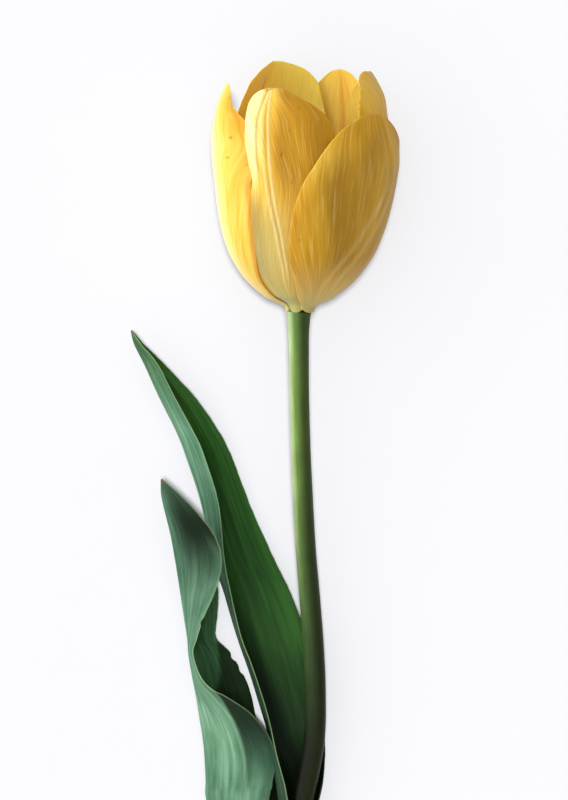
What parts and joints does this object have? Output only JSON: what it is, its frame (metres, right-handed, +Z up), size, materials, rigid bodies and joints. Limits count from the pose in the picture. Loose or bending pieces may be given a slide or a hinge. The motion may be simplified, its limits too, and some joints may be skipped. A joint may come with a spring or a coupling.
{
  "type": "cut tulip",
  "caption": "Cut tulip lying down: a half-open cup of overlapping tepals round stamens and a pistil, on a bare stem with long folded leaves that clasp it.",
  "frame": {"origin": "bottom centre of the bounding box, on the surface the flower lies on", "axes": "+Y from the cut end of the stem towards the bloom, +Z up off the surface, +X to the side away from the leaves"},
  "size_m": [0.0838, 0.3002, 0.0569],
  "materials": {
    "tepal": "soft satin petal tissue, lemon to golden yellow, with fine lengthwise veins",
    "stem": "smooth fleshy green stalk with fine lengthwise fibres and a thin bloom of wax",
    "leaf": "waxy blue-green leaf with parallel veins and a pale yellow-green margin",
    "pistil": "smooth pale green ovary with a rough cream stigma",
    "filament": "smooth pale yellow stalk",
    "anther": "matt golden pollen"
  },
  "bodies": {
    "root": {"stem": "stem", "tepal_outer_right": "tepal", "tepal_outer_left": "tepal", "tepal_outer_back": "tepal", "tepal_inner_front": "tepal", "tepal_inner_left": "tepal", "tepal_inner_right": "tepal", "leaf_upper": "leaf", "leaf_lower": "leaf", "pistil": "pistil", "filament_1": "filament", "filament_2": "filament", "filament_3": "filament", "filament_4": "filament", "filament_5": "filament", "filament_6": "filament", "anther_1": "anther", "anther_2": "anther", "anther_3": "anther", "anther_4": "anther", "anther_5": "anther", "anther_6": "anther"}
  },
  "joints": []
}
